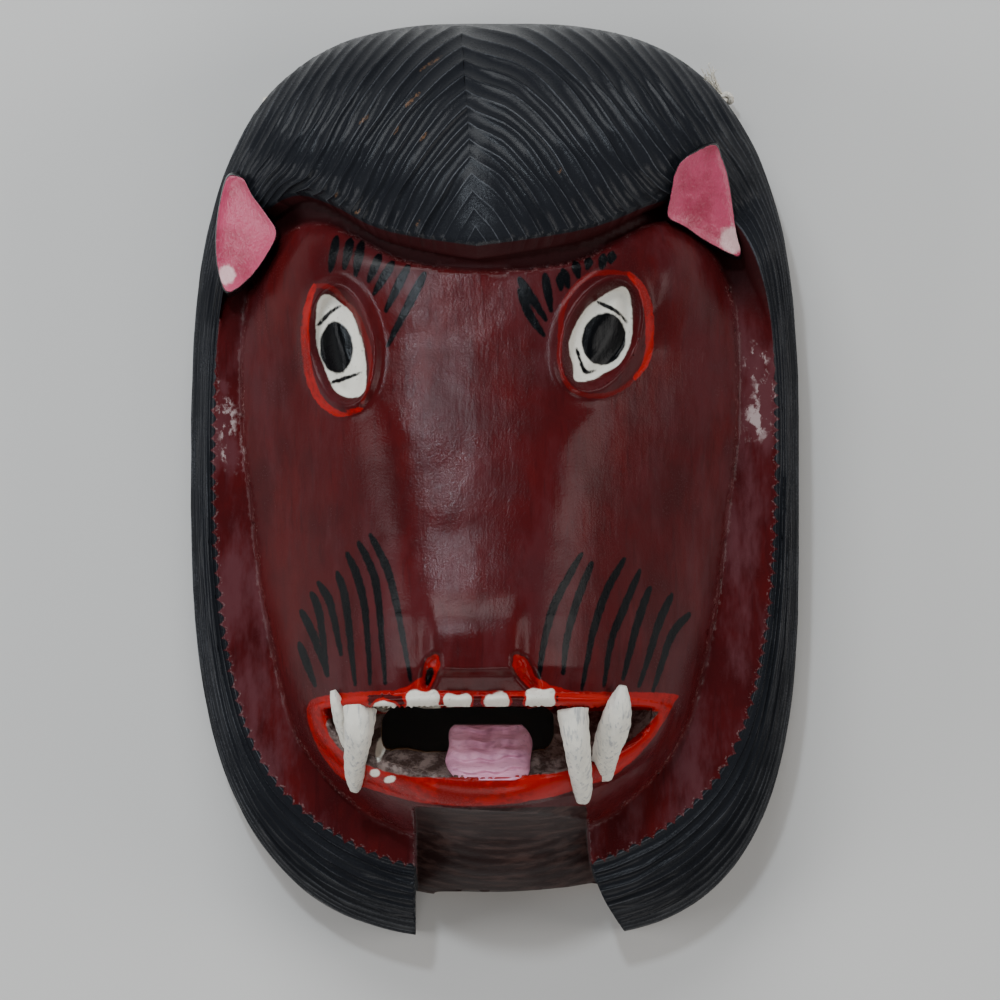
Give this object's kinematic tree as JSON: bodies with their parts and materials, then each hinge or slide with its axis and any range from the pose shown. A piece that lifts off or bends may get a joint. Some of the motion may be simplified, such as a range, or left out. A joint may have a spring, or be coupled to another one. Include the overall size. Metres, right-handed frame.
{
  "type": "animal mask",
  "caption": "Carved and painted wooden animal mask, hollow behind, with a grooved hair cap, long muzzle, fangs, tongue, open mouth and a hanging twine.",
  "frame": {"origin": "middle of the mask's width and height, on the plane of its back rim", "axes": "+Z out of the back rim towards the face, +Y from the chin to the top of the head, +X to the right as the picture shows the mask"},
  "size_m": [0.184, 0.2748, 0.1053],
  "materials": {
    "painted_wood": "glossy paint over hand-carved wood, bare gouged wood inside and behind",
    "twine": "rough undyed plant-fibre twine"
  },
  "bodies": {
    "root": {"mask": "painted_wood", "hanging_twine": "twine", "twine_knot_left": "twine", "twine_knot_right": "twine"}
  },
  "joints": []
}
